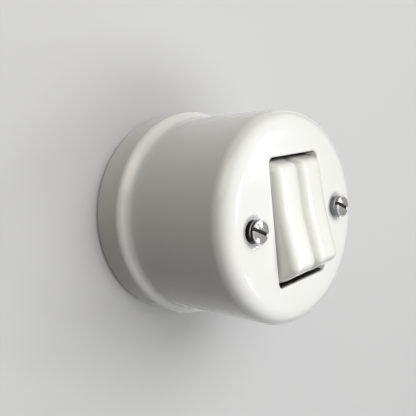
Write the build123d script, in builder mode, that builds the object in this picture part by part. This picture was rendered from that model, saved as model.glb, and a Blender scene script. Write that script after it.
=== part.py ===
"""Two-gang rocker switch in a round glazed porcelain body, for mounting on a wall.

The wall is the plane Y = 0 and the room is towards -Y. +X is to the right as seen from the room
and +Z is up. The origin is the centre of the cable entry in the base's back face.
A depth is a distance from the wall towards the room. All sizes are in millimetres and degrees.
"""
import os
from math import cos, radians, sin, sqrt, tan

from build123d import *

# Porcelain cover, outside: side, bead, cove, flare, tapered wall, front edge, shoulder, face
stand_off = 0.7
bead_radius = 33.0
bead_depth = 10.2
side_waist = 0.15
rim_edge_radius = 0.6
bead_arc_radius = 2.8
bead_turn = 50.5
cove_radius = 3.5
flare_angle = 6.0
flare_radius = 30.0
wall_taper = 0.7
front_edge_radius = 4.6
shoulder_radius = 20.0
shoulder_angle = 6.0
face_depth = 50.2

# Porcelain cover, inside
cavity_step = 5.75
front_thickness = 4.0
inner_edge_radius = 2.5
seat_depth = 9.0
base_fit = 0.3
seat_step = 1.2

# Window for the rockers
window_share = 0.664
window_height = 35.2
window_corner = 1.8
window_edge_radius = 0.45

# Cover screws, M3.5 with a raised cheese head, and the pillars they go into
screw_rim_distance = 8.0
screw_shank_radius = 1.75
screw_head_radius = 3.17
screw_head_side = 2.6
screw_head_dome = 0.35
screw_slot_width = 0.95
screw_slot_depth = 1.1
screw_head_edge = 0.25
slot_angle_left = -28.0
slot_angle_right = -26.0
cover_hole_fit = 0.35
thread_fit = 0.04
dimple_depth = 0.35
dimple_margin = 0.2
dimple_slope = 70.0
dimple_edge_radius = 2.0
cover_screw_reach = 10.0
pillar_radius = 3.5
pillar_gap = 0.3
pillar_chamfer = 0.4
pillar_bore_extra = 1.5
pillar_screw_reach = 7.0
pillar_screw_sink = 0.4
countersink_radius = 3.3
countersink_fit = 0.1

# Porcelain base
base_edge_radius = 0.6
block_side_step = 0.1
block_screw_gap = 0.8
block_entry_gap = 1.5
block_end_step = 0.5
block_edge_radius = 1.5
cable_entry_radius = 6.5
cable_entry_edge = 1.0
wall_hole_rim_distance = 5.15
wall_hole_radius = 2.2
wall_countersink_radius = 4.2
wall_countersink_angle = 90.0

# Mechanism housing
housing_side_wall = 2.0
cell_side_play = 0.15
housing_end_wall = 1.5
housing_floor = 2.0
housing_below_pivot = 2.4
housing_corner = 1.2
ear_length = 8.0
ear_radius = 2.0
ear_gap_to_cover = 0.4
ear_root = 2.0
partition_thickness = 1.5
partition_below_top = 5.3
partition_low_gap = 0.9
partition_bar_gap = 0.4
wire_hole_radius = 1.6
housing_screw_end_gap = 0.2
housing_screw_shank = 1.25
housing_screw_head = 2.2
housing_screw_head_height = 1.5
housing_screw_length = 8.0
housing_hole_fit = 0.15
housing_screw_tip_gap = 0.8

# Rockers and their axle
pivot_below_face = 6.5
rest_tilt = 8.1
window_side_gap = 0.25
rocker_gap = 0.4
rocker_end_gap = 0.4
rocker_proud = 2.8
rocker_dish_angle = 3.6
rocker_dish_radius = 45.0
rocker_skirt = 0.8
rocker_wall = 1.4
rocker_corner_radius = 2.3
rocker_front_radius = 1.8
front_facing_angle = 25.0
end_facing_angle = 45.0
axle_radius = 1.0
axle_press = 0.01
axle_fit = 0.06
hub_radius = 2.4
web_width = 4.0
web_thickness = 4.8
stem_radius = 2.7
stem_length = 9.5

# Springs and plungers in the rockers' stems
plunger_radius = 1.57
plunger_fit = 0.07
plunger_tip_centre = 12.5
plunger_length = 5.5
stem_bore_top = 2.7
spring_wire_radius = 0.2
spring_radius = 1.2
spring_turns = 4

# Contact blades on their knife edges
plunger_clearance = 0.08
blade_seat = 0.2
blade_tilt = 8.1
blade_side_gap = 1.75
blade_end_gap = 1.05
blade_thickness = 0.8
blade_ear = 1.8
blade_ear_length = 4.0
blade_corner = 1.5
knife_height = 6.55
knife_thickness = 0.9
knife_fit = 0.05
knife_side_fit = 0.2
tip_radius = 1.5
tip_height = 0.6
tip_end_margin = 0.2
tip_edge_radius = 0.2
contact_gap = 0.15

# Terminals
strip_thickness = 0.8
strip_width = 5.0
strip_bend = 0.9
common_bar_width = 2.7
common_bar_gap = 0.3
upright_gap = 0.25
terminal_side_gap = 0.55
terminal_end_gap = 0.3
terminal_block_length = 5.6
terminal_block_height = 6.4
terminal_wire_radius = 1.35
terminal_screw_radius = 1.25
terminal_screw_head = 2.1
terminal_screw_head_height = 1.4
terminal_screw_length = 3.2
small_slot_width = 0.7
small_slot_depth = 0.7
small_head_edge = 0.35

# How far a cut runs past the surface that it opens
cut_margin = 1.0

# Places that follow from the sizes above
sides = {"left": -1, "right": 1}
ends = {"upper": 1, "lower": -1}


def polar(centre, radius, angle):
    """The point at an angle on a circle, as a pair."""
    return (centre[0] + radius * cos(radians(angle)), centre[1] + radius * sin(radians(angle)))


# Half of the cover's outline, each point a radius and a depth
side_start = (bead_radius, bead_depth)
bead_centre = (bead_radius - bead_arc_radius, bead_depth)
bead_end = polar(bead_centre, bead_arc_radius, bead_turn)
cove_centre = polar(bead_end, cove_radius, bead_turn)
cove_end = polar(cove_centre, -cove_radius, flare_angle)
flare_centre = polar(cove_end, flare_radius, flare_angle)
flare_end = polar(flare_centre, -flare_radius, wall_taper)
edge_angle = 90 - shoulder_angle
edge_rise = (shoulder_radius - front_edge_radius) * sin(radians(edge_angle))
edge_centre_depth = face_depth - shoulder_radius + edge_rise
wall_end_depth = edge_centre_depth + front_edge_radius * sin(radians(wall_taper))
wall_end_radius = flare_end[0] - tan(radians(wall_taper)) * (wall_end_depth - flare_end[1])
front_centre = polar((wall_end_radius, wall_end_depth), -front_edge_radius, wall_taper)
shoulder_centre = polar(front_centre, front_edge_radius - shoulder_radius, edge_angle)
inner_radius = bead_radius - cavity_step
seat_radius = inner_radius + seat_step
base_radius = seat_radius - base_fit

# Across the switch
screw_x = inner_radius - screw_rim_distance
window_width = window_share * bead_radius
housing_inner_width = window_width + 2 * cell_side_play
housing_width = housing_inner_width + 2 * housing_side_wall
rocker_width = window_width / 2 - window_side_gap - rocker_gap / 2
cell_x = rocker_gap / 2 + rocker_width / 2
blade_width = rocker_width - 2 * blade_side_gap
block_width = housing_width - 2 * block_side_step
terminal_block_width = 2 * (cell_x - housing_screw_head - terminal_side_gap)

# Up and down the switch
wall_hole_z = base_radius - wall_hole_rim_distance
block_outer_z = wall_hole_z - wall_countersink_radius - block_screw_gap
block_inner_z = cable_entry_radius + cable_entry_edge + block_entry_gap
block_length = block_outer_z - block_inner_z
block_centre_z = (block_outer_z + block_inner_z) / 2
housing_length = 2 * (block_outer_z - block_end_step)
housing_end_z = housing_length / 2 - housing_end_wall
housing_screw_z = housing_end_z - housing_screw_head - housing_screw_end_gap
terminal_block_z = housing_end_z - terminal_end_gap - terminal_block_length / 2
upright_z = terminal_block_z - terminal_block_length / 2 - strip_thickness / 2 - upright_gap
blade_half_length = upright_z - strip_thickness / 2 - blade_end_gap
tip_z = blade_half_length - tip_radius - tip_end_margin
arm_end_z = tip_z - tip_radius
common_bar_high_z = housing_screw_z - housing_screw_head - common_bar_gap
common_bar_low_z = common_bar_high_z - common_bar_width
partition_high_z = common_bar_low_z - partition_bar_gap
partition_low_z = -(housing_screw_z - housing_screw_head - partition_low_gap)
rocker_end_radius = window_height / 2 - rocker_end_gap

# From the wall to the room
inner_face_depth = face_depth - front_thickness
dimple_floor_depth = face_depth - dimple_depth
pillar_top_depth = inner_face_depth - pillar_gap
ear_top_depth = inner_face_depth - ear_gap_to_cover
pivot_depth = face_depth - pivot_below_face
rocker_front_height = pivot_below_face + rocker_proud
housing_top_depth = pivot_depth - housing_below_pivot
partition_top_depth = housing_top_depth - partition_below_top
blade_top = blade_seat + blade_thickness
tip_reach = plunger_tip_centre + plunger_radius
fulcrum_depth = pivot_depth - tip_reach - blade_top - plunger_clearance
floor_depth = fulcrum_depth - knife_height
block_depth = floor_depth - housing_floor
dome_radius = (screw_head_radius**2 + screw_head_dome**2) / (2 * screw_head_dome)
block_top_depth = floor_depth + strip_thickness + terminal_block_height
wire_depth = floor_depth + strip_thickness + terminal_block_height / 2


def depth_plane(depth, x=0, z=0):
    """A plane parallel to the wall that faces the room, with X to the right and Z up."""
    return Plane(origin=(x, -depth, z), x_dir=(1, 0, 0), z_dir=(0, -1, 0))


def side_plane(x, depth=0, z=0, tilt=0):
    """A plane across X. Its first axis points to the room, its second up, both tilted about X."""
    out = (0, -cos(radians(tilt)), sin(radians(tilt)))
    return Plane(origin=(x, -depth, z), x_dir=out, z_dir=(-1, 0, 0))


def tilted_plane(x, depth, tilt, height):
    """A plane that faces the room, tilted about X and moved out by a height along its normal."""
    out = Vector(0, -cos(radians(tilt)), sin(radians(tilt)))
    return Plane(origin=Vector(x, -depth, 0) + out * height, x_dir=(1, 0, 0), z_dir=out)


os.makedirs("parts", exist_ok=True)

# Cover: one glazed porcelain cup
meridian = Plane(origin=(0, 0, 0), x_dir=(1, 0, 0), z_dir=(0, 0, -1))
with BuildPart() as cover:
    with BuildSketch(meridian):
        with BuildLine():
            Line((0, stand_off), (bead_radius, stand_off))
            side_middle = (bead_radius - side_waist, (stand_off + bead_depth) / 2)
            ThreePointArc((bead_radius, stand_off), side_middle, side_start)
            CenterArc(bead_centre, bead_arc_radius, 0, bead_turn)
            CenterArc(cove_centre, cove_radius, 180 + bead_turn, flare_angle - bead_turn)
            CenterArc(flare_centre, flare_radius, 180 + flare_angle, wall_taper - flare_angle)
            Line(flare_end, (wall_end_radius, wall_end_depth))
            CenterArc(front_centre, front_edge_radius, wall_taper, edge_angle - wall_taper)
            CenterArc(shoulder_centre, shoulder_radius, edge_angle, shoulder_angle)
            Line((shoulder_centre[0], face_depth), (0, face_depth))
            Line((0, face_depth), (0, stand_off))
        make_face()
    revolve(axis=Axis.Y)
    fillet(cover.edges().sort_by(Axis.Y)[-1], rim_edge_radius)
    with BuildSketch(meridian) as cavity:
        with BuildLine():
            Polyline(
                (0, stand_off - cut_margin),
                (seat_radius, stand_off - cut_margin),
                (seat_radius, seat_depth),
                (inner_radius, seat_depth),
                (inner_radius, inner_face_depth),
                (0, inner_face_depth),
                close=True,
            )
        make_face()
        inner_corner = cavity.vertices().sort_by(Axis.Y)[-2:].sort_by(Axis.X)[-1]
        fillet(inner_corner, inner_edge_radius)
    revolve(axis=Axis.Y, mode=Mode.SUBTRACT)
    with BuildSketch(depth_plane(inner_face_depth)):
        RectangleRounded(window_width, window_height, window_corner)
    extrude(amount=front_thickness, mode=Mode.SUBTRACT)
    fillet(cover.edges(Select.LAST).group_by(Axis.Y)[0], window_edge_radius)
    with BuildSketch(depth_plane(dimple_floor_depth)):
        with Locations((-screw_x, 0), (screw_x, 0)):
            Circle(screw_head_radius + dimple_margin)
    extrude(amount=dimple_depth, taper=-dimple_slope, mode=Mode.SUBTRACT)
    fillet(cover.edges(Select.LAST).group_by(Axis.Y)[0], dimple_edge_radius)
    with BuildSketch(depth_plane(inner_face_depth)):
        with Locations((-screw_x, 0), (screw_x, 0)):
            Circle(screw_shank_radius + cover_hole_fit)
    extrude(amount=front_thickness, mode=Mode.SUBTRACT)

# Base: porcelain disc with two blocks and the wiring space between them
with BuildPart() as base:
    with BuildSketch(depth_plane(0)):
        Circle(base_radius)
    extrude(amount=seat_depth)
    fillet(base.edges().group_by(Axis.Y)[-1], base_edge_radius)
    with BuildSketch(depth_plane(seat_depth)):
        with Locations((0, block_centre_z), (0, -block_centre_z)):
            RectangleRounded(block_width, block_length, block_edge_radius)
    extrude(amount=block_depth - seat_depth)
    with BuildSketch(depth_plane(0)):
        Circle(cable_entry_radius)
    extrude(amount=seat_depth, mode=Mode.SUBTRACT)
    fillet(base.edges(Select.LAST).group_by(Axis.Y)[0], cable_entry_edge)
    with Locations(depth_plane(seat_depth)):
        with Locations((0, wall_hole_z), (0, -wall_hole_z)):
            CounterSinkHole(
                wall_hole_radius,
                wall_countersink_radius,
                seat_depth,
                wall_countersink_angle,
            )
    with Locations(Plane(origin=(0, 0, 0), x_dir=(-1, 0, 0), z_dir=(0, 1, 0))):
        with Locations((-screw_x, 0, -pillar_screw_sink), (screw_x, 0, -pillar_screw_sink)):
            CounterSinkHole(
                screw_shank_radius + cover_hole_fit,
                countersink_radius + countersink_fit,
                seat_depth,
                wall_countersink_angle,
            )
    with BuildSketch(depth_plane(block_depth)):
        with Locations((0, housing_screw_z), (0, -housing_screw_z)):
            Circle(housing_screw_shank + thread_fit)
    extrude(amount=-housing_screw_length, mode=Mode.SUBTRACT)


def save(piece, name):
    """Labels a finished piece and writes it."""
    piece.part.label = name
    export_step(piece.part, f"parts/{name}.step")


save(cover, "cover")
save(base, "base")

# Pillars and the screws at both of their ends
slot_angles = {"left": slot_angle_left, "right": slot_angle_right}
for side, sign in sides.items():
    x = sign * screw_x
    with BuildPart() as pillar:
        with BuildSketch(depth_plane(seat_depth, x)):
            Circle(pillar_radius)
        extrude(amount=pillar_top_depth - seat_depth)
        chamfer(pillar.edges().group_by(Axis.Y)[0], pillar_chamfer)
        with BuildSketch(depth_plane(pillar_top_depth, x)):
            Circle(screw_shank_radius + thread_fit)
        extrude(amount=-cover_screw_reach - pillar_bore_extra, mode=Mode.SUBTRACT)
        with BuildSketch(depth_plane(seat_depth, x)):
            Circle(screw_shank_radius + thread_fit)
        extrude(amount=pillar_screw_reach + pillar_bore_extra, mode=Mode.SUBTRACT)
    save(pillar, f"pillar_{side}")

    with BuildPart() as cover_screw:
        with BuildSketch(depth_plane(dimple_floor_depth, x)):
            Circle(screw_shank_radius)
        extrude(amount=pillar_top_depth - cover_screw_reach - dimple_floor_depth)
        with BuildSketch(side_plane(x, dimple_floor_depth)):
            with BuildLine():
                dome_top = (screw_head_side + screw_head_dome, 0)
                dome_edge = (screw_head_side, screw_head_radius)
                RadiusArc(dome_edge, dome_top, dome_radius)
                Polyline(dome_top, (0, 0), (0, screw_head_radius), dome_edge)
            make_face()
        revolve(axis=Axis((x, 0, 0), (0, 1, 0)))
        head_rim = cover_screw.edges().filter_by(lambda edge: edge.is_closed).group_by(Axis.Y)[0]
        fillet(head_rim, screw_head_edge)
        slot_floor = dimple_floor_depth + screw_head_side + screw_head_dome - screw_slot_depth
        with BuildSketch(depth_plane(slot_floor, x)):
            Rectangle(
                2 * screw_head_radius + cut_margin, screw_slot_width, rotation=slot_angles[side]
            )
        extrude(amount=screw_slot_depth, mode=Mode.SUBTRACT)
    save(cover_screw, f"cover_screw_{side}")

    with BuildPart() as pillar_screw:
        with BuildSketch(depth_plane(pillar_screw_sink, x)):
            Circle(countersink_radius)
        extrude(amount=countersink_radius - screw_shank_radius, taper=wall_countersink_angle / 2)
        with BuildSketch(depth_plane(pillar_screw_sink, x)):
            Circle(screw_shank_radius)
        extrude(amount=seat_depth + pillar_screw_reach - pillar_screw_sink)
        with BuildSketch(depth_plane(pillar_screw_sink, x)):
            Rectangle(2 * countersink_radius + cut_margin, screw_slot_width)
        extrude(amount=screw_slot_depth, mode=Mode.SUBTRACT)
    save(pillar_screw, f"pillar_screw_{side}")

# Housing of the mechanism: a box with two cells, ears for the axle and wire holes in its ends
with BuildPart() as housing:
    with BuildSketch(depth_plane(block_depth)):
        RectangleRounded(housing_width, housing_length, housing_corner)
    extrude(amount=housing_top_depth - block_depth)
    with BuildSketch(depth_plane(floor_depth)):
        Rectangle(housing_inner_width, housing_length - 2 * housing_end_wall)
    extrude(amount=housing_top_depth - floor_depth, mode=Mode.SUBTRACT)
    partition_middle_z = (partition_high_z + partition_low_z) / 2
    with BuildSketch(depth_plane(floor_depth, 0, partition_middle_z)):
        Rectangle(partition_thickness, partition_high_z - partition_low_z)
    extrude(amount=partition_top_depth - floor_depth)
    wall_centre_x = (housing_inner_width + housing_side_wall) / 2
    with BuildSketch(side_plane(wall_centre_x), side_plane(-wall_centre_x)):
        with Locations(((housing_top_depth + ear_top_depth) / 2 - ear_root / 2, 0)):
            Rectangle(ear_top_depth - housing_top_depth + ear_root, ear_length)
    extrude(amount=housing_side_wall / 2, both=True)
    ear_corners = housing.edges().filter_by(Axis.X).group_by(Axis.Y)[0]
    fillet(ear_corners, ear_radius)
    with BuildSketch(side_plane(0, pivot_depth)):
        Circle(axle_radius + axle_press)
    extrude(amount=housing_width, both=True, mode=Mode.SUBTRACT)
    with BuildSketch(depth_plane(block_depth)):
        with Locations((0, housing_screw_z), (0, -housing_screw_z)):
            Circle(housing_screw_shank + housing_hole_fit)
    extrude(amount=housing_floor, mode=Mode.SUBTRACT)
    with BuildSketch(Plane.XY):
        with Locations((-cell_x, -wire_depth), (cell_x, -wire_depth)):
            Circle(wire_hole_radius)
    extrude(amount=-housing_length, mode=Mode.SUBTRACT)
    with BuildSketch(Plane.XY):
        with Locations((cell_x, -wire_depth)):
            Circle(wire_hole_radius)
    extrude(amount=housing_length, mode=Mode.SUBTRACT)
save(housing, "mechanism_housing")


def screw(base_plane, shank_radius, reach, head_radius, head_height):
    """A pan-head screw on a plane: its head stands on it, its shank goes behind it."""
    with BuildPart() as body:
        with BuildSketch(base_plane):
            Circle(head_radius)
        extrude(amount=head_height)
        fillet(body.edges().filter_by(GeomType.CIRCLE).group_by(Axis.Y)[0], small_head_edge)
        with BuildSketch(base_plane):
            Circle(shank_radius)
        extrude(amount=-reach)
        with BuildSketch(base_plane.offset(head_height - small_slot_depth)):
            Rectangle(2 * head_radius + cut_margin, small_slot_width)
        extrude(amount=small_slot_depth, mode=Mode.SUBTRACT)
    return body


for end, sign in ends.items():
    place = depth_plane(floor_depth, 0, sign * housing_screw_z)
    reach = housing_floor + housing_screw_length - housing_screw_tip_gap
    piece = screw(
        place, housing_screw_shank, reach, housing_screw_head, housing_screw_head_height
    )
    save(piece, f"housing_screw_{end}")

# Axle through the ears and both rockers
with BuildPart() as axle:
    with BuildSketch(side_plane(0, pivot_depth)):
        Circle(axle_radius)
    extrude(amount=housing_width / 2, both=True)
save(axle, "rocker_axle")

# The dished front of a rocker, its corners on the round ends and the ends of its skirt
dish_slope = tan(radians(rocker_dish_angle))
dish_root = sqrt(rocker_end_radius**2 * (1 + dish_slope**2) - rocker_front_height**2)
corner_z = (dish_root - rocker_front_height * dish_slope) / (1 + dish_slope**2)
corner_out = rocker_front_height + dish_slope * corner_z
dish_half = rocker_dish_radius * sin(radians(rocker_dish_angle))
dish_edge_out = rocker_front_height + dish_slope * dish_half
dish_floor_out = rocker_front_height + rocker_dish_radius / cos(radians(rocker_dish_angle))
dish_floor_out -= rocker_dish_radius
skirt_z = sqrt(rocker_end_radius**2 - rocker_skirt**2)
end_middle_out = (corner_out + rocker_skirt) / 2
end_middle_z = sqrt(rocker_end_radius**2 - end_middle_out**2)


# A rocker's side outline and the hollow behind its front, both about the axle
with BuildSketch() as rocker_section:
    with BuildLine():
        for up in (1, -1):
            Line((dish_edge_out, up * dish_half), (corner_out, up * corner_z))
            end_middle = (end_middle_out, up * end_middle_z)
            ThreePointArc((corner_out, up * corner_z), end_middle, (rocker_skirt, up * skirt_z))
        ThreePointArc(
            (dish_edge_out, dish_half), (dish_floor_out, 0), (dish_edge_out, -dish_half)
        )
        Line((rocker_skirt, skirt_z), (rocker_skirt, -skirt_z))
    make_face()
with BuildSketch() as rocker_hollow:
    add(rocker_section.sketch)
    offset(amount=-rocker_wall)
    with Locations((rocker_skirt + rocker_wall / 2, 0)):
        Rectangle(rocker_wall + cut_margin, 2 * (skirt_z - rocker_wall))

# Rockers, with the springs and plungers in their stems
stem_bore_radius = plunger_radius + plunger_fit
plunger_back = plunger_tip_centre - plunger_length
for side, sign in sides.items():
    x = sign * cell_x
    across = side_plane(x, pivot_depth, 0, rest_tilt)
    out = across.x_dir
    with BuildPart() as rocker:
        with BuildSketch(across):
            add(rocker_section.sketch)
        extrude(amount=rocker_width / 2, both=True)
        end_limit = cos(radians(end_facing_angle))
        round_ends = rocker.faces().filter_by(GeomType.CYLINDER)
        round_ends = round_ends.filter_by(lambda face: face.normal_at().dot(out) < end_limit)
        fillet(round_ends.edges().filter_by(GeomType.CIRCLE), rocker_corner_radius)
        front_limit = cos(radians(front_facing_angle))
        front = rocker.faces().filter_by(lambda face: face.normal_at().dot(out) > front_limit)
        dish_seams = front.edges().filter_by(Axis.X).group_by(Axis.Z)[1:-1]
        rim = front.edges() - dish_seams[0] - dish_seams[-1]
        fillet(rim, rocker_front_radius)
        with BuildSketch(across):
            add(rocker_hollow.sketch)
        extrude(amount=rocker_width / 2 - rocker_wall, both=True, mode=Mode.SUBTRACT)
        with BuildSketch(across):
            Circle(hub_radius)
        extrude(amount=rocker_width / 2, both=True)
        with BuildSketch(across):
            with Locations(((rocker_front_height - rocker_wall / 2) / 2, 0)):
                Rectangle(rocker_front_height - rocker_wall / 2, web_thickness)
        extrude(amount=web_width / 2, both=True)
        with BuildSketch(tilted_plane(x, pivot_depth, rest_tilt, -stem_length)):
            Circle(stem_radius)
        extrude(amount=stem_length)
        with BuildSketch(tilted_plane(x, pivot_depth, rest_tilt, -stem_length)):
            Circle(stem_bore_radius)
        extrude(amount=stem_length - stem_bore_top, mode=Mode.SUBTRACT)
        with BuildSketch(across):
            Circle(axle_radius + axle_fit)
        extrude(amount=rocker_width / 2, both=True, mode=Mode.SUBTRACT)
    save(rocker, f"rocker_{side}")

    with BuildPart() as plunger:
        with BuildSketch(across):
            with BuildLine():
                tip = (-tip_reach, 0)
                tip_edge = (-plunger_tip_centre, plunger_radius)
                Polyline(tip, (-plunger_back, 0), (-plunger_back, plunger_radius), tip_edge)
                RadiusArc(tip_edge, tip, -plunger_radius)
            make_face()
        revolve(axis=Axis(across.origin, out))
    save(plunger, f"plunger_{side}")

    spring_start = spring_wire_radius - plunger_back
    spring_length = plunger_back - stem_bore_top - 2 * spring_wire_radius
    spring_place = tilted_plane(x, pivot_depth, rest_tilt, spring_start)
    spring_pitch = spring_length / spring_turns
    with BuildPart() as spring:
        with BuildLine() as coil:
            Helix(spring_pitch, spring_length, spring_radius, spring_place.origin, out)
        with BuildSketch(Plane(origin=coil.line @ 0, z_dir=coil.line % 0)):
            Circle(spring_wire_radius)
        sweep(path=coil.line, is_frenet=True)
    save(spring, f"spring_{side}")

# Contact blades on their knife edges, with their rivets
for side, sign in sides.items():
    x = sign * cell_x
    across = side_plane(x, fulcrum_depth, 0, -blade_tilt)
    blade_base = tilted_plane(x, fulcrum_depth, -blade_tilt, blade_seat)
    with BuildPart() as blade:
        with BuildSketch(blade_base):
            RectangleRounded(blade_width, 2 * blade_half_length, blade_corner)
        extrude(amount=blade_thickness)
        with BuildSketch(across):
            with Locations(((blade_top - blade_ear) / 2, 0)):
                RectangleRounded(blade_top + blade_ear, blade_ear_length, blade_thickness / 2)
        extrude(amount=blade_width / 2, both=True)
        with BuildSketch(across):
            with Locations((-blade_ear / 2 + blade_seat / 2, 0)):
                Rectangle(blade_ear + blade_seat, blade_ear_length)
            Circle(knife_thickness / 2 + knife_fit)
        extrude(amount=blade_width / 2 - blade_thickness, both=True, mode=Mode.SUBTRACT)
    save(blade, f"see_saw_{side}")

    tip_place = Plane(
        origin=blade_base.from_local_coords((0, -tip_z, 0)), x_dir=(1, 0, 0), z_dir=blade_base.z_dir
    )
    with BuildPart() as moving_tip:
        with BuildSketch(tip_place):
            Circle(tip_radius)
        extrude(amount=-tip_height)
        fillet(moving_tip.edges().filter_by(GeomType.CIRCLE).group_by(Axis.Y)[-1], tip_edge_radius)
    save(moving_tip, f"moving_tip_{side}")

    fixed_top = tip_place.offset(-tip_height - contact_gap)
    with BuildPart() as fixed_tip:
        with BuildSketch(fixed_top):
            Circle(tip_radius)
        extrude(amount=-tip_height)
        fillet(fixed_tip.edges().filter_by(GeomType.CIRCLE).group_by(Axis.Y)[0], tip_edge_radius)
    save(fixed_tip, f"fixed_tip_{side}")



# Terminals: bent strips with a brass clamping block, and the clamping screws
def clamping_block(x, z):
    """A terminal block on its strip, with the wire hole and the screw hole."""
    with BuildPart() as block:
        with BuildSketch(depth_plane(floor_depth + strip_thickness, x, z)):
            Rectangle(terminal_block_width, terminal_block_length)
        extrude(amount=terminal_block_height)
        with BuildSketch(Plane.XY.offset(z)):
            with Locations((x, -wire_depth)):
                Circle(terminal_wire_radius)
        extrude(amount=terminal_block_length / 2, both=True, mode=Mode.SUBTRACT)
        with BuildSketch(depth_plane(block_top_depth, x, z)):
            Circle(terminal_screw_radius + thread_fit)
        extrude(amount=-terminal_block_height / 2, mode=Mode.SUBTRACT)
    return block.part


def clamping_screw(x, z, name):
    """Writes the screw of a terminal block."""
    place = depth_plane(block_top_depth, x, z)
    piece = screw(
        place,
        terminal_screw_radius,
        terminal_screw_length,
        terminal_screw_head,
        terminal_screw_head_height,
    )
    save(piece, name)


for side, sign in sides.items():
    x = sign * cell_x
    across = side_plane(x, fulcrum_depth, 0, -blade_tilt)
    arm_out = blade_seat - 2 * tip_height - contact_gap - strip_thickness / 2
    arm_end = across.from_local_coords((arm_out, -arm_end_z, 0))
    arm_root = across.from_local_coords((arm_out, -upright_z, 0))
    strip_middle = floor_depth + strip_thickness / 2
    block = clamping_block(x, -terminal_block_z)
    with BuildPart() as terminal:
        with BuildSketch(side_plane(x)):
            with BuildLine():
                FilletPolyline(
                    (strip_middle, -terminal_block_z - terminal_block_length / 2),
                    (strip_middle, arm_root.Z),
                    (-arm_root.Y, arm_root.Z),
                    (-arm_end.Y, arm_end.Z),
                    radius=strip_bend,
                )
            trace(line_width=strip_thickness)
        extrude(amount=strip_width / 2, both=True)
        add(block)
    save(terminal, f"output_terminal_{side}")
    clamping_screw(x, -terminal_block_z, f"terminal_screw_{side}")

block = clamping_block(cell_x, terminal_block_z)
with BuildPart() as common:
    for x in (-cell_x, cell_x):
        with BuildSketch(side_plane(x)):
            with Locations(((floor_depth + fulcrum_depth) / 2, 0)):
                Rectangle(fulcrum_depth - floor_depth, knife_thickness)
            with Locations((fulcrum_depth, 0)):
                Circle(knife_thickness / 2)
        extrude(amount=blade_width / 2 - blade_thickness - knife_side_fit, both=True)
    leg_low_z = -knife_thickness / 2
    with BuildSketch(depth_plane(floor_depth)):
        for x in (-cell_x, cell_x):
            with Locations((x, (leg_low_z + common_bar_high_z) / 2)):
                Rectangle(strip_width, common_bar_high_z - leg_low_z)
        with Locations((0, (common_bar_low_z + common_bar_high_z) / 2)):
            Rectangle(2 * cell_x + strip_width, common_bar_high_z - common_bar_low_z)
        with Locations((cell_x, terminal_block_z)):
            Rectangle(terminal_block_width, terminal_block_length)
    extrude(amount=strip_thickness)
    add(block)
save(common, "common_terminal")
clamping_screw(cell_x, terminal_block_z, "terminal_screw_common")
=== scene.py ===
# %% [markdown]
# # A porcelain double rocker switch
#
# This lesson dresses a finished construction model of a wall switch: a round glazed cup, a pair of
# rockers in its window and a slotted screw on each side. The construction model already has every
# piece at its real size, so the work here is the finish: glaze, moulded plastic, plated metal, a
# slight crown on the rockers' fronts, and the soft light of a room.
#
# Lengths are in metres. The wall is the plane Y = 0, the room is towards -Y and Z is up.

# %% Load the frame
from math import cos, pi, radians, sin

import bpy
from mathutils import Matrix, Vector


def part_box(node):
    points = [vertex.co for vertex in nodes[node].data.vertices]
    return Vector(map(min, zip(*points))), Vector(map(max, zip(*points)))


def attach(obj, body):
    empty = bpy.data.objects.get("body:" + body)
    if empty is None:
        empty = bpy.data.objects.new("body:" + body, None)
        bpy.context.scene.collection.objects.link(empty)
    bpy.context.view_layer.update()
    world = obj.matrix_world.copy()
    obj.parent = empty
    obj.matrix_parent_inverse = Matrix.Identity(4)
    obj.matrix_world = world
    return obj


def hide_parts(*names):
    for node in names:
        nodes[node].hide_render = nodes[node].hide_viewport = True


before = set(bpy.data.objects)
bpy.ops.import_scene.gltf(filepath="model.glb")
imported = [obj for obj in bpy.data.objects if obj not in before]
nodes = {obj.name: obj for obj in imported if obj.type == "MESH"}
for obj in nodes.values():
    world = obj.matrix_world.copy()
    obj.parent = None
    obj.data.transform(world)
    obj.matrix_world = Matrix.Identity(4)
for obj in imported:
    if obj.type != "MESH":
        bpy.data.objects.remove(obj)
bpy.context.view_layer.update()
mm = 0.001
print("pieces in the frame:", len(nodes))

# %% [markdown]
# The photograph was taken from the left and a little above, with the camera leaning over by six
# degrees. A lens and a place that give the same outline were found by matching the two edges of the
# round body, its rim and the corners of its window. The camera aims at a point near the middle of
# the body, and stands back from it along one direction.

# %% Camera
image_width = 416
focal_length_px = 520.3
sensor_width_mm = 36
camera_azimuth = radians(-44.29)
camera_elevation = radians(8.09)
camera_roll = radians(-5.92)
camera_distance = 161.4 * mm
aim_depth = 25 * mm
aim_right = -7.37 * mm
aim_up = 1.97 * mm


def direction(azimuth, elevation):
    """The way from the switch to a place in the room. Azimuth 0 is straight in front."""
    level = cos(elevation)
    return Vector((sin(azimuth) * level, -cos(azimuth) * level, sin(elevation)))


back = direction(camera_azimuth, camera_elevation)
level_right = Vector((cos(camera_azimuth), sin(camera_azimuth), 0))
lean = Matrix.Rotation(camera_roll, 3, back)
right = lean @ level_right
up = lean @ back.cross(level_right)
target = Vector((0, -aim_depth, 0)) + right * aim_right + up * aim_up

camera_data = bpy.data.cameras.new("camera")
camera_data.sensor_width = sensor_width_mm
camera_data.lens = focal_length_px * sensor_width_mm / image_width
camera_data.clip_start = 1 * mm
camera = bpy.data.objects.new("camera", camera_data)
bpy.context.scene.collection.objects.link(camera)
turn = Matrix((right, up, back)).transposed().to_4x4()
camera.matrix_world = Matrix.Translation(target + back * camera_distance) @ turn
bpy.context.scene.camera = camera
bpy.context.scene.view_settings.view_transform = "Standard"
print("lens in mm:", round(camera_data.lens, 1))

# %% [markdown]
# Shader maths reads best as plain expressions. The first class wraps a socket, so that adding or
# multiplying two values adds the Math node that does it. The second holds one material's nodes, and
# its method node makes every other kind of node.

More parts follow.
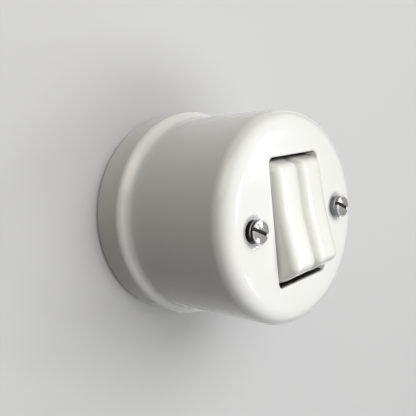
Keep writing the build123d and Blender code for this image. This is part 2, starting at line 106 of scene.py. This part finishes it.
# %% Shader helpers
class Value:
    """A number that changes over the surface, held as a socket in a node tree."""

    def __init__(self, tree, socket):
        self.tree = tree
        self.socket = socket

    def math(self, operation, other, first=False):
        inputs = {0: other, 1: self} if first else {0: self, 1: other}
        return self.tree.node("ShaderNodeMath", {"operation": operation}, inputs)

    def __add__(self, other):
        return self.math("ADD", other)

    def __sub__(self, other):
        return self.math("SUBTRACT", other)

    def __rsub__(self, other):
        return self.math("SUBTRACT", other, first=True)

    def __mul__(self, other):
        return self.math("MULTIPLY", other)

    def __pow__(self, other):
        return self.math("POWER", other)

    def __abs__(self):
        return self.math("ABSOLUTE", 0)

    __radd__ = __add__
    __rmul__ = __mul__


class Tree:
    """A material's node tree, with its Principled shader at hand."""

    def __init__(self, name):
        self.material = bpy.data.materials.new(name)
        self.material.use_nodes = True
        self.nodes = self.material.node_tree.nodes
        self.links = self.material.node_tree.links
        self.shader = self.nodes["Principled BSDF"]

    def node(self, kind, settings=None, inputs=None, output=0):
        """Adds a node, sets it up, fills its sockets and returns one of its outputs."""
        made = self.nodes.new(kind)
        for name, setting in (settings or {}).items():
            setattr(made, name, setting)
        for name, value in (inputs or {}).items():
            self.put(made.inputs[name], value)
        return Value(self, made.outputs[output])

    def put(self, socket, value):
        """Links a value to a socket, or writes a plain number or colour into it."""
        if isinstance(value, Value):
            self.links.new(value.socket, socket)
        else:
            socket.default_value = value

    def set(self, **sockets):
        """Fills sockets of the Principled shader, named with _ for each space."""
        for name, value in sockets.items():
            self.put(self.shader.inputs[name.replace("_", " ")], value)

    def place(self):
        """Object coordinates, which are metres in the switch's own frame."""
        return self.node("ShaderNodeTexCoord", output="Object")

    def noise(self, size, detail):
        """Noise from 0 to 1 whose features are about as large as a size in metres."""
        inputs = {"Vector": self.place(), "Scale": 1 / size, "Detail": detail}
        return self.node("ShaderNodeTexNoise", {}, inputs)

    def axes(self):
        """The three object coordinates, each as a value."""
        split = self.node("ShaderNodeSeparateXYZ", {}, {"Vector": self.place()}).socket.node
        return [Value(self, socket) for socket in split.outputs]

    def rise(self, value, start, end):
        """A smooth step from 0 at the start to 1 at the end."""
        settings = {"interpolation_type": "SMOOTHSTEP"}
        inputs = {"Value": value, "From Min": start, "From Max": end}
        return self.node("ShaderNodeMapRange", settings, inputs)

    def mix(self, factor, first, second):
        """A colour between two colours. In this node they are sockets 6 and 7."""
        inputs = {0: factor, 6: first, 7: second}
        return self.node("ShaderNodeMix", {"data_type": "RGBA"}, inputs, output=2)

    def bump(self, height, depth):
        """Small unevenness: a height from 0 to 1, and the metres that 1 stands for."""
        inputs = {"Height": height, "Distance": depth, "Strength": 1.0}
        self.set(Normal=self.node("ShaderNodeBump", {}, inputs))


def rgb(red, green, blue):
    """A colour picked on a screen, from 0 to 255, as the shader's linear colour."""
    parts = [channel / 255 for channel in (red, green, blue)]
    linear = [c / 12.92 if c <= 0.04045 else ((c + 0.055) / 1.055) ** 2.4 for c in parts]
    return (*linear, 1)


def dress(material, *names):
    """Gives frame nodes a material in place of the one they came with."""
    for name in names:
        data = nodes[name].data
        data.materials.clear()
        data.materials.append(material)
    print(material.name, "on", len(names), "pieces")


# %% [markdown]
# The glaze is what makes the switch: a thick, glassy skin over a white body. Real glaze is never
# quite flat, so it gets a very shallow, wide waviness that only its reflections show, with a finer
# ripple on it, and its white drifts a little between cool and warm.
#
# The upper and lower walls of the window look nearly black on the real switch, as they lie in
# shade. That shade is painted: a mask finds the two walls by their place and darkens their colour,
# from the window's edge inwards.

# %% Glazed porcelain
clear_glaze = {"Coat_Weight": 1.0, "Coat_Roughness": 0.015, "Coat_IOR": 1.5}
glaze_roughness, speck_spread = 0.12, 0.08
ripple_share = 0.12
window_half_width = 10.7 * mm
window_half_height = 17.6 * mm
window_edge_depth = 50.0 * mm
wall_margin = 0.5 * mm
mask_softness = 0.1 * mm
shade_depth = 1.2 * mm
window_shade = rgb(58, 52, 46)


def window_shade_mask(tree):
    """Painted shade: from 0 to 1 on the upper and lower walls of the window, growing with depth."""
    x, y, z = tree.axes()
    lowest, highest = window_half_height - wall_margin, window_half_height + wall_margin
    mask = tree.rise(abs(x), window_half_width + mask_softness, window_half_width)
    mask = mask * tree.rise(abs(z), highest + mask_softness, highest)
    mask = mask * tree.rise(abs(z), lowest, lowest + mask_softness)
    return mask * tree.rise(y, -window_edge_depth, shade_depth - window_edge_depth)


def glaze(name, cool, warm, wave_depth, shade_window_walls=False):
    tree = Tree(name)
    white = tree.mix(tree.noise(size=18 * mm, detail=1.0), cool, warm)
    if shade_window_walls:
        # Painted shade darkens the window's upper and lower walls.
        white = tree.mix(window_shade_mask(tree), white, window_shade)
    specks = tree.noise(size=0.5 * mm, detail=3.0)
    tree.set(Base_Color=white, Roughness=glaze_roughness + specks * speck_spread, **clear_glaze)
    ripple = tree.noise(size=1.2 * mm, detail=1.0)
    waves = tree.noise(size=6 * mm, detail=1.0) + ripple * ripple_share
    tree.bump(waves, wave_depth)
    return tree.material


cover_cool, cover_warm = rgb(243, 245, 242), rgb(246, 245, 240)
porcelain = glaze("porcelain", cover_cool, cover_warm, 0.03 * mm, shade_window_walls=True)
dress(porcelain, "cover")

# %% [markdown]
# The rockers are moulded in a white plastic with a polished skin, so they get a thin clear coat
# over a fine grain. The same plastic without the polish serves the hidden pieces later on.

# %% Moulded plastic of the rockers
polish_roughness = 0.02
grain_spread, grain_depth = 0.06, 0.004 * mm


def moulded(name, cool, warm, roughness, polish=0.0):
    tree = Tree(name)
    tree.set(Coat_Weight=polish, Coat_Roughness=polish_roughness)
    tree.set(Base_Color=tree.mix(tree.noise(size=9 * mm, detail=1.0), cool, warm))
    grain = tree.noise(size=0.25 * mm, detail=4.0)
    tree.set(Roughness=roughness + grain * grain_spread)
    tree.bump(grain, grain_depth)
    return tree.material


rocker_cool, rocker_warm = rgb(240, 243, 238), rgb(243, 242, 235)
rocker_white = moulded("rocker_white", rocker_cool, rocker_warm, roughness=0.16, polish=1.0)
dress(rocker_white, "rocker_left", "rocker_right")

# %% [markdown]
# A real rocker is a little crowned: its front falls away on both sides of a flat middle, which is
# what draws the long soft highlights. The construction model keeps the front straight across, so
# each rocker gets a mesh of its own, copied from the model's. The copy is cut into narrow strips
# along its length, and each point then sinks towards the axle by the height that the crown loses
# there. The stem behind the front stays as it is, and so does everything near the axle.

# %% Crowned rockers
axle_depth = 43.7 * mm
rest_tilt = radians(8.1)
rocker_out = Vector((0, -cos(rest_tilt), sin(rest_tilt)))
crown_radius = 8 * mm
crown_flat_half = 2.15 * mm
crown_foot, crown_full = 3 * mm, 7.5 * mm
strip_width = 0.35 * mm
strips_each_side = 10
merge_distance = 0.001 * mm
cut_tolerance = 0.01 * mm
shortest_edge = 0.005 * mm
sharpest_smooth_angle = radians(25)


def edit(*steps):
    """Runs mesh operators on all of the active piece, each given with its settings."""
    bpy.ops.object.mode_set(mode="EDIT")
    for operator, settings in steps:
        bpy.ops.mesh.select_all(action="SELECT")
        operator(**settings)
    bpy.ops.object.mode_set(mode="OBJECT")


def crown_loss(point, centre_x):
    """How far a point sinks, from nothing near the axle to the crown's full loss at the front."""
    height = (point - Vector((0, -axle_depth, 0))).dot(rocker_out)
    share = min(max((height - crown_foot) / (crown_full - crown_foot), 0), 1)
    smooth_share = share * share * (3 - 2 * share)
    beyond = max(abs(point.x - centre_x) - crown_flat_half, 0)
    return smooth_share * beyond**2 / (2 * crown_radius)


def crowned(name, body):
    """A copy of a rocker's mesh whose front is crowned across its width."""
    low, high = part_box(name)
    centre_x = (low[0] + high[0]) / 2
    bpy.ops.object.select_all(action="DESELECT")
    piece = bpy.data.objects.new(f"{name}_crowned", nodes[name].data.copy())
    bpy.context.scene.collection.objects.link(piece)
    piece.select_set(True)
    bpy.context.view_layer.objects.active = piece
    bpy.ops.mesh.customdata_custom_splitnormals_clear()
    steps = [(bpy.ops.mesh.remove_doubles, {"threshold": merge_distance})]
    for strip in range(-strips_each_side, strips_each_side + 1):
        cut = {"plane_co": (centre_x + strip * strip_width, 0, 0), "plane_no": (1, 0, 0)}
        steps.append((bpy.ops.mesh.bisect, {**cut, "threshold": cut_tolerance}))
    edit(*steps)
    for vertex in piece.data.vertices:
        vertex.co -= rocker_out * crown_loss(vertex.co, centre_x)
    edit((bpy.ops.mesh.dissolve_degenerate, {"threshold": shortest_edge}))
    bpy.ops.object.shade_smooth_by_angle(angle=sharpest_smooth_angle)
    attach(piece, body)
    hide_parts(name)
    return piece


for side in ("left", "right"):
    piece = crowned(f"rocker_{side}", f"{side}_rocker")
    print(piece.name, "faces:", len(piece.data.polygons))

# %% [markdown]
# The metal pieces differ in finish. The inner screws, the axle and the springs are plain steel, the
# posts, blades and terminals are bare brass, and the contact rivets are silver. All three share one
# recipe: a colour, smudges that change how sharp the reflections are, and fine scratches.

# %% Bare metals
smudge_share = 0.6


def metal(name, colour, roughness, scratch_depth):
    tree = Tree(name)
    tree.set(Base_Color=colour, Metallic=1.0)
    smudge = tree.noise(size=1.5 * mm, detail=3.0)
    scratches = tree.noise(size=0.12 * mm, detail=4.0)
    tree.set(Roughness=roughness + smudge * roughness * smudge_share)
    tree.bump(scratches, scratch_depth)
    return tree.material


steel = metal("steel", rgb(176, 176, 174), 0.3, 0.004 * mm)
brass = metal("brass", rgb(212, 178, 106), 0.26, 0.003 * mm)
silver = metal("silver", rgb(222, 221, 216), 0.24, 0.003 * mm)
inner_screws = [name for name in nodes if "screw" in name and "cover" not in name]
dress(steel, "rocker_axle", "spring_left", "spring_right", *inner_screws)
dress(brass, "pillar_left", "pillar_right", "see_saw_left", "see_saw_right")
dress(brass, "common_terminal", "output_terminal_left", "output_terminal_right")
dress(silver, *[name for name in nodes if "_tip_" in name])

# %% [markdown]
# The cover screws are plated and polished. The plating is bright on top of the head, with a duller
# rim whose pale colour is a painted highlight. The head's side is dark with painted shade, darker
# on the left screw than on the right, and one paler stripe runs round it, a painted reflection. The
# slot's walls get the same painted shade, and its floor is pale. Most of it is placed by two
# measures: how far a point lies below the head's top, and how far from the screw's axis. A top that
# is partly not metal keeps some of its own grey, where a perfect mirror would show only the dark
# room.

# %% Plated cover screws
screw_axis_x = 19.25 * mm
head_radius = 3.17 * mm
head_top_depth = 52.8 * mm
side_begins = (0.45 * mm, 0.6 * mm)
slot_floor_begins = (0.9 * mm, 1.0 * mm)
stripe_begins, stripe_ends = (1.2 * mm, 1.3 * mm), (1.65 * mm, 1.55 * mm)
stripe_lit = (-1.2 * mm, 0.6 * mm)
rim_width, rim_softness = 0.38 * mm, 0.08 * mm
side_margin = 0.1 * mm
stripe_strength = 0.8
top_metallic = 0.55
top_roughness, rim_dullness, smudge_dullness = 0.12, 0.25, 0.06
bump_size, bump_depth = 0.8 * mm, 0.03 * mm
# The rim's pale colour is a painted highlight.
bright_chrome, dull_chrome, rim_highlight = rgb(226, 224, 220), rgb(196, 190, 184), rgb(250, 250, 248)
# Painted shade on the screws' sides and slot walls: near black on the left screw, grey on the
# right.
left_screw_side_shade, right_screw_side_shade = rgb(30, 28, 27), rgb(120, 121, 122)
# The stripe's colour is a painted reflection.
stripe_reflection, floor_chrome = rgb(190, 190, 188), rgb(178, 176, 174)


def plated_screw(name):
    tree = Tree(name)
    x, y, z = tree.axes()
    below_top = y + head_top_depth
    from_axis = ((abs(x) - screw_axis_x) ** 2 + z**2) ** 0.5
    side = tree.rise(below_top, *side_begins)
    # Painted reflection: a paler stripe round the upper part of the head's side.
    stripe = tree.rise(below_top, *stripe_begins) * tree.rise(below_top, *stripe_ends)
    skin = head_radius - side_margin
    stripe = stripe * tree.rise(from_axis, skin, skin + side_margin / 2)
    stripe = stripe * tree.rise(z, *stripe_lit) * stripe_strength
    floor = tree.rise(below_top, *slot_floor_begins)
    floor = floor * tree.rise(from_axis, skin, skin - side_margin)
    # Painted highlight: a pale ring round the edge of the head's top, which is also duller.
    rim_start = head_radius - rim_width
    rim = tree.rise(from_axis, rim_start, rim_start + rim_softness) * (1 - side)
    smudge = tree.noise(size=0.9 * mm, detail=3.0)
    top = tree.mix(smudge, bright_chrome, dull_chrome)
    # Painted shade on the head's side and the slot's walls, darker on the left screw than on the
    # right.
    side_shade = tree.mix(tree.rise(x, -1 * mm, 1 * mm), left_screw_side_shade, right_screw_side_shade)
    side_shade = tree.mix(floor, side_shade, floor_chrome)
    colour = tree.mix(side, tree.mix(rim, top, rim_highlight), side_shade)
    tree.set(Base_Color=tree.mix(stripe, colour, stripe_reflection))
    dullness = rim * rim_dullness + smudge * smudge_dullness
    tree.set(Metallic=top_metallic + side * (1 - top_metallic), Roughness=top_roughness + dullness)
    tree.bump(tree.noise(size=bump_size, detail=2.0), bump_depth)
    return tree.material


dress(plated_screw("chrome"), "cover_screw_left", "cover_screw_right")

# %% [markdown]
# What remains lies behind the cover. The base is porcelain too, a little yellower than the cover
# and with shallower waves. The housing is given a dark colour as painted shade, so that the gaps
# round the rockers stay black, and the plungers are a pale, matt plastic.

# %% Base, housing and plungers
base_white = glaze("base_porcelain", rgb(236, 235, 229), rgb(233, 230, 222), 0.02 * mm)
# Painted shade: a dark colour that stands in for the shade in the gaps round the rockers.
housing_dark = moulded("housing_plastic", rgb(46, 43, 40), rgb(38, 36, 34), 0.4)
plunger_white = moulded("plunger_plastic", rgb(228, 227, 221), rgb(224, 222, 214), 0.4)
dress(base_white, "base")
dress(housing_dark, "mechanism_housing")
dress(plunger_white, "plunger_left", "plunger_right")

# %% [markdown]
# The switch hangs on a pale wall over a pale floor. Both are seen from their front only, so that a
# look from behind still shows the back of the switch. A white wall this close would fill in the
# dark side of the round body, so the light that bounces off the two sheets is that of a darker
# grey. The wall throws no shadow of its own, because one lamp stands behind it.

# %% Wall and floor
sheet_size = 1.6
wall_gap = 0.02 * mm
floor_middle, floor_height = -0.8, -0.6
pale_grey = rgb(206, 206, 206)
bounce_grey = rgb(30, 30, 30)


def pale_sheet(name):
    tree = Tree(name)
    seen = tree.node("ShaderNodeLightPath", output="Is Camera Ray")
    seen = seen + tree.node("ShaderNodeLightPath", output="Is Glossy Ray")
    seen = seen + tree.node("ShaderNodeLightPath", output="Is Transmission Ray")
    tree.set(Base_Color=tree.mix(seen, bounce_grey, pale_grey))
    tree.set(Roughness=0.9, Specular_IOR_Level=0.1)
    behind = tree.node("ShaderNodeNewGeometry", output="Backfacing")
    clear = tree.node("ShaderNodeBsdfTransparent")
    front = Value(tree, tree.shader.outputs[0])
    sides = tree.node("ShaderNodeMixShader", {}, {0: behind, 1: front, 2: clear})
    tree.put(tree.nodes["Material Output"].inputs["Surface"], sides)
    return tree.material


def sheet(name, place, turn, material):
    bpy.ops.object.select_all(action="DESELECT")
    bpy.ops.mesh.primitive_plane_add(size=sheet_size, location=place, rotation=turn)
    piece = bpy.context.object
    piece.name = name
    piece.data.materials.append(material)
    return piece


pale = pale_sheet("pale")
wall = sheet("wall", (0, wall_gap, 0), (pi / 2, 0, 0), pale)
wall.visible_shadow = False
sheet("floor", (0, floor_middle, floor_height), (0, 0, 0), pale)
print("sheets are", sheet_size, "m across")

# %% [markdown]
# One large soft lamp above and nearly in front makes the face white and leaves the left side in
# shade, a low one lifts what faces down, and a weak warm one on the left draws the side from light
# at the top to dark below. Mirrored in the glaze, the first two would be wide white patches, so
# reflections leave them out. Four small lamps on the right are made to be mirrored: they give the
# thin bright lines along the shoulder of the glaze, on the rockers and on the screws. The last lamp
# shows the back of the switch to a camera behind the wall.

# %% Lamps
def soft_box(name, azimuth, elevation, distance, size, power, colour=(1, 1, 1)):
    """A rectangular lamp that looks at the switch from a direction, given in degrees."""
    towards = direction(radians(azimuth), radians(elevation))
    data = bpy.data.lights.new(name, "AREA")
    data.shape = "RECTANGLE"
    data.size, data.size_y = size
    data.energy = power
    data.color = colour
    lamp = bpy.data.objects.new(name, data)
    bpy.context.scene.collection.objects.link(lamp)
    lamp.location = Vector((0, -aim_depth, 0)) + towards * distance
    lamp.rotation_mode = "QUATERNION"
    lamp.rotation_quaternion = towards.to_track_quat("Z", "Y")
    return lamp


warm_white = (1.0, 0.88, 0.72)
key = soft_box("key", 5, 30, distance=0.9, size=(1.0, 0.6), power=7.0)
soft_box("fill", -70, 45, distance=0.8, size=(0.5, 0.5), power=0.84, colour=warm_white)
low = soft_box("low", 8, -22, distance=0.8, size=(0.6, 0.3), power=2.7)
key.visible_glossy = low.visible_glossy = False
soft_box("strip_outer", 34, -4, distance=0.8, size=(0.07, 0.085), power=0.28)
soft_box("strip_inner", 46.8, 0.5, distance=0.8, size=(0.03, 0.11), power=0.18)
soft_box("strip_upper", 41, 7, distance=0.8, size=(0.07, 0.07), power=0.24)
soft_box("strip_low", 36, -22, distance=0.8, size=(0.06, 0.06), power=0.14)
soft_box("behind", 180, 0, distance=0.9, size=(0.2, 0.2), power=1.4)
print("lamps:", len(bpy.data.lights))

# %% [markdown]
# A room is never quite dark, and what is left of its light is a little warm.

# %% Room light
room_colour = (1, 0.97, 0.92, 1)
room_strength = 0.03
world = bpy.data.worlds.new("room")
world.use_nodes = True
background = world.node_tree.nodes["Background"]
background.inputs["Color"].default_value = room_colour
background.inputs["Strength"].default_value = room_strength
bpy.context.scene.world = world
